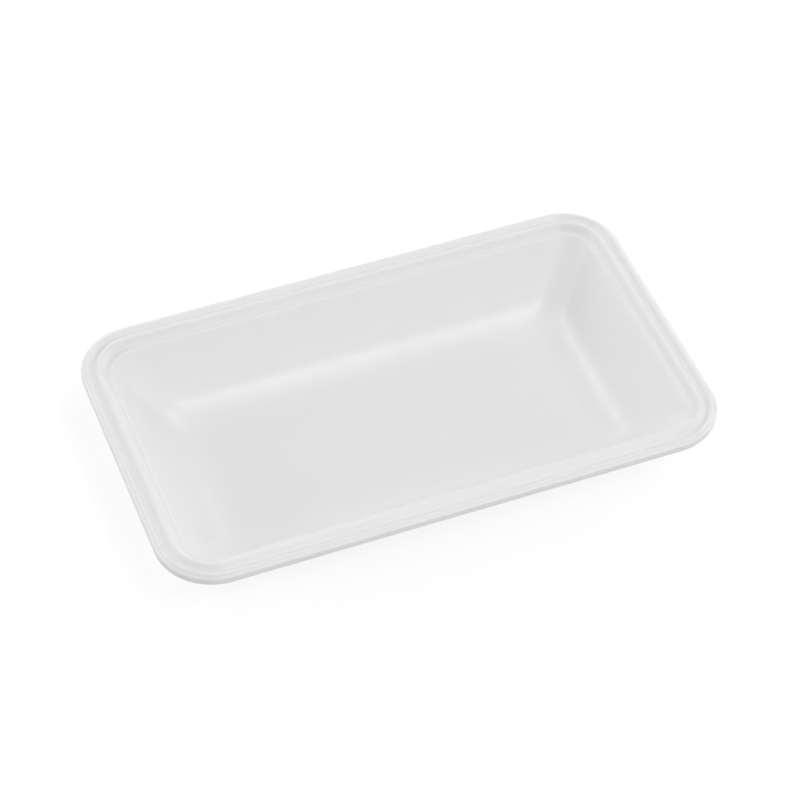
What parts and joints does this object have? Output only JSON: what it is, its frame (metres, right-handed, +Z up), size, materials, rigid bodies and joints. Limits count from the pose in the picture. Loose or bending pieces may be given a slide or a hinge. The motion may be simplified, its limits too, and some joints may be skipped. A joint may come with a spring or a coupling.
{
  "type": "foam meat tray",
  "caption": "Shallow rectangular foam tray with rounded corners, sloping walls, a flat floor and a double-ridged rim, for holding fresh meat.",
  "frame": {"origin": "under the middle of the tray, on the face it rests on", "axes": "+X along the tray's length, +Y across its width, +Z up out of its mouth"},
  "size_m": [0.225, 0.136, 0.03],
  "materials": {
    "white_foam": "satin skin of pressed polystyrene foam"
  },
  "bodies": {
    "root": {"foam_tray": "white_foam"}
  },
  "joints": []
}
